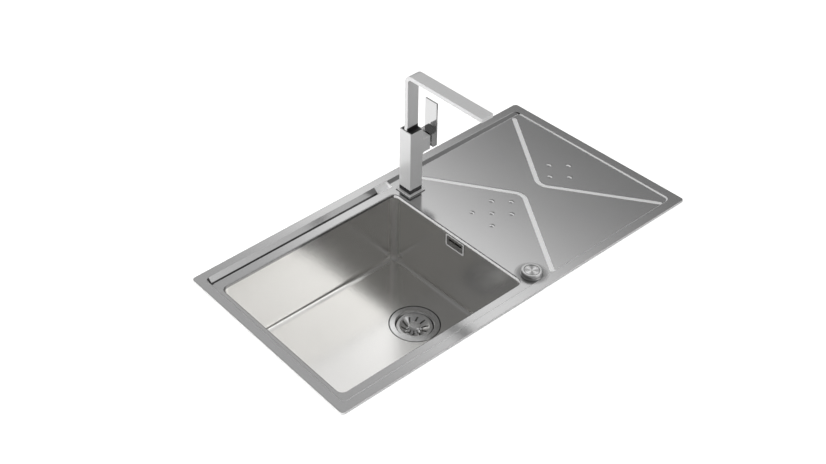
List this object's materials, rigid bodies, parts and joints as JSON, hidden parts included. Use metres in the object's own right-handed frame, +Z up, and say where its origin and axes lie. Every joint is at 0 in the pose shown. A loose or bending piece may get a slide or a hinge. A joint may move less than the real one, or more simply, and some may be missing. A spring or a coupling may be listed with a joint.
{
  "type": "kitchen sink with drainboard",
  "caption": "Inset steel kitchen sink with a square bowl, a drainboard with two V grooves, an accessory channel, a swivel mixer tap and a pop-up waste.",
  "frame": {"origin": "Middle of the front edge seal's centre line, on the seal's underside, which is the worktop plane", "axes": "+X along the length to the drainboard's end, +Y to the rear, +Z up"},
  "size_m": [1, 0.51, 0.5955],
  "materials": {
    "steel": "satin",
    "bowl_steel": "satin",
    "polished_steel": "polished",
    "chrome": "polished",
    "dark_collar": "dark gloss",
    "foam": "matte",
    "rubber": "matte",
    "pad": "matte",
    "zinc": "zinc plated",
    "brass": "plain",
    "white_plastic": "matte",
    "black_plastic": "matte",
    "ceramic_case": "matte"
  },
  "bodies": {
    "sink": {"deck": "steel", "bowl": "bowl_steel", "edge_seal": "foam", "clip_brackets": "zinc", "clip_claws": "zinc", "clip_screws": "zinc", "earth_tag": "zinc", "bowl_pad": "pad", "drainer_pads": "pad", "overflow_plate": "polished_steel", "overflow_gasket": "rubber", "overflow_housing": "white_plastic", "overflow_pipe": "white_plastic", "overflow_nuts": "black_plastic", "overflow_washers": "rubber", "flange_gasket": "rubber", "waste_flange": "polished_steel", "flange_screws": "zinc", "body_gasket": "rubber", "waste_body": "white_plastic", "basket_seal": "rubber", "bezel_gasket": "rubber", "knob_bezel": "polished_steel", "knob_washer": "rubber", "knob_nut": "white_plastic", "knob_housing": "white_plastic", "tap_base_seal": "rubber", "tap_base_plate": "chrome", "base_collar": "dark_collar", "tap_body": "chrome", "fixing_stud": "brass", "horseshoe_rubber": "rubber", "horseshoe_plate": "zinc", "stud_nut": "brass", "swivel_bush": "white_plastic", "swivel_rings": "rubber", "spout_screw": "zinc", "cartridge": "ceramic_case", "cartridge_nut": "black_plastic"},
    "spout": {"spout": "chrome", "aerator": "dark_collar"},
    "mixer_carrier": {"mixer_carrier": "black_plastic"},
    "lever": {"lever_stem": "zinc", "lever_pin": "zinc", "lever_handle": "chrome", "lever_screw": "zinc"},
    "knob": {"knob_spindle": "white_plastic", "knob": "polished_steel", "knob_disc": "polished_steel"},
    "crank": {"lifter_crank": "zinc"},
    "lifter": {"lifter_pin": "zinc"},
    "basket": {"strainer_basket": "polished_steel"}
  },
  "joints": [
    {"name": "spout_swivel", "type": "hinge", "parent": "sink", "child": "spout", "pos_m": [0.073, 0.4253, 0.178], "axis": [0, 0, 1], "range_deg": [-70, 70]},
    {"name": "lever_turn", "type": "hinge", "parent": "sink", "child": "mixer_carrier", "pos_m": [0.103, 0.4253, 0.1285], "axis": [1, 0, 0], "range_deg": [-45, 45]},
    {"name": "lever_lift", "type": "hinge", "parent": "mixer_carrier", "child": "lever", "pos_m": [0.112, 0.4253, 0.1285], "axis": [0, 1, 0], "range_deg": [0, 20]},
    {"name": "knob_turn", "type": "hinge", "parent": "sink", "child": "knob", "pos_m": [0.0675, 0.0438, 0.005], "axis": [0, 0, 1], "range_deg": [0, 90]},
    {"name": "crank_turn", "type": "hinge", "parent": "sink", "child": "crank", "pos_m": [-0.104, 0.2383, -0.2353], "axis": [0, -1, 0], "range_deg": [0, 23.58]},
    {"name": "lifter_rise", "type": "slide", "parent": "sink", "child": "lifter", "axis": [0, 0, 1], "range_m": [0, 0.008]},
    {"name": "basket_lift_out", "type": "slide", "parent": "lifter", "child": "basket", "axis": [0, 0, 1], "range_m": [0, 0.06]}
  ],
  "couplings": [
    {"joint": "crank_turn", "follows": "lifter_rise", "rad_per_m": 51.4},
    {"joint": "knob_turn", "follows": "lifter_rise", "rad_per_m": 196.3}
  ]
}
